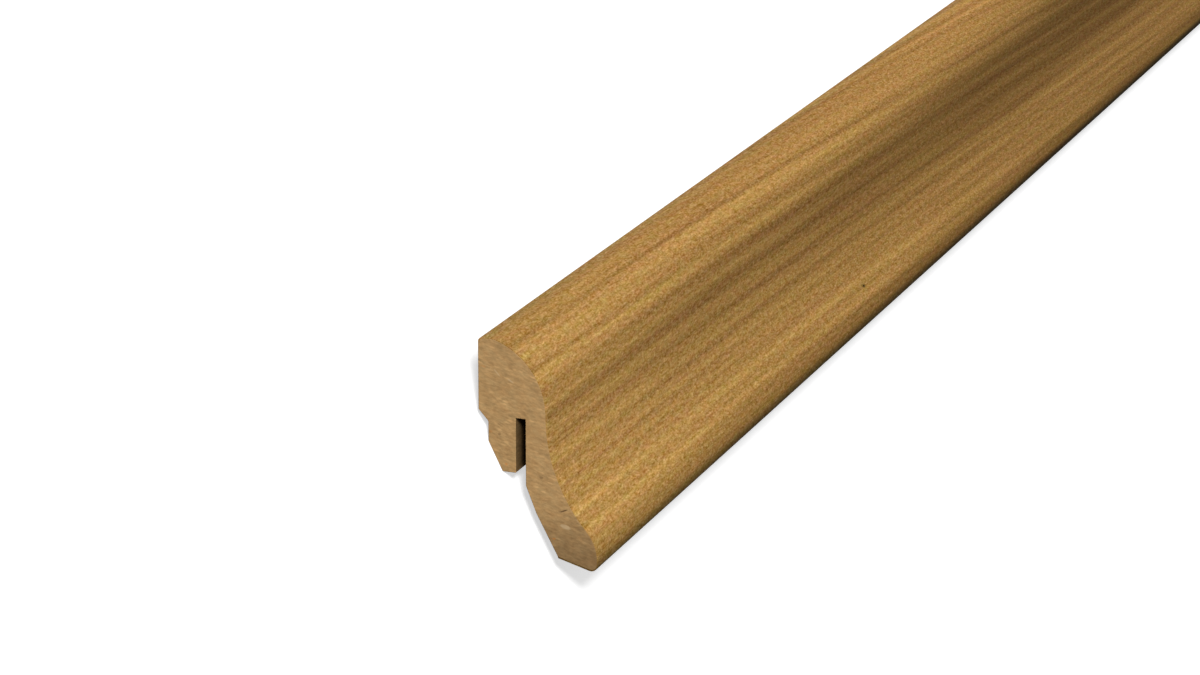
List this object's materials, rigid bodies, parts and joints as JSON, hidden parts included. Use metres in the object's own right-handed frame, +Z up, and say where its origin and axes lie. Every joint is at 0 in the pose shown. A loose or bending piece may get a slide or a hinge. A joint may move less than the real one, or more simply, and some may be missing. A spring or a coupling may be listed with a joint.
{
  "type": "skirting board",
  "caption": "Skirting board length with a crown and cove moulded, wood-decor front and a clip slot that opens at the bottom of its back.",
  "frame": {"origin": "on the floor, under the middle of the board as it lies", "axes": "+X along the board, -Y towards the foot and +Y towards the top edge, +Z up from the floor with the decor side upwards"},
  "size_m": [2.4, 0.0448, 0.0136],
  "materials": {
    "raw_mdf": "matte",
    "decor_foil": "satin"
  },
  "bodies": {
    "root": {"mdf_core": "raw_mdf", "decor_foil": "decor_foil"}
  },
  "joints": []
}
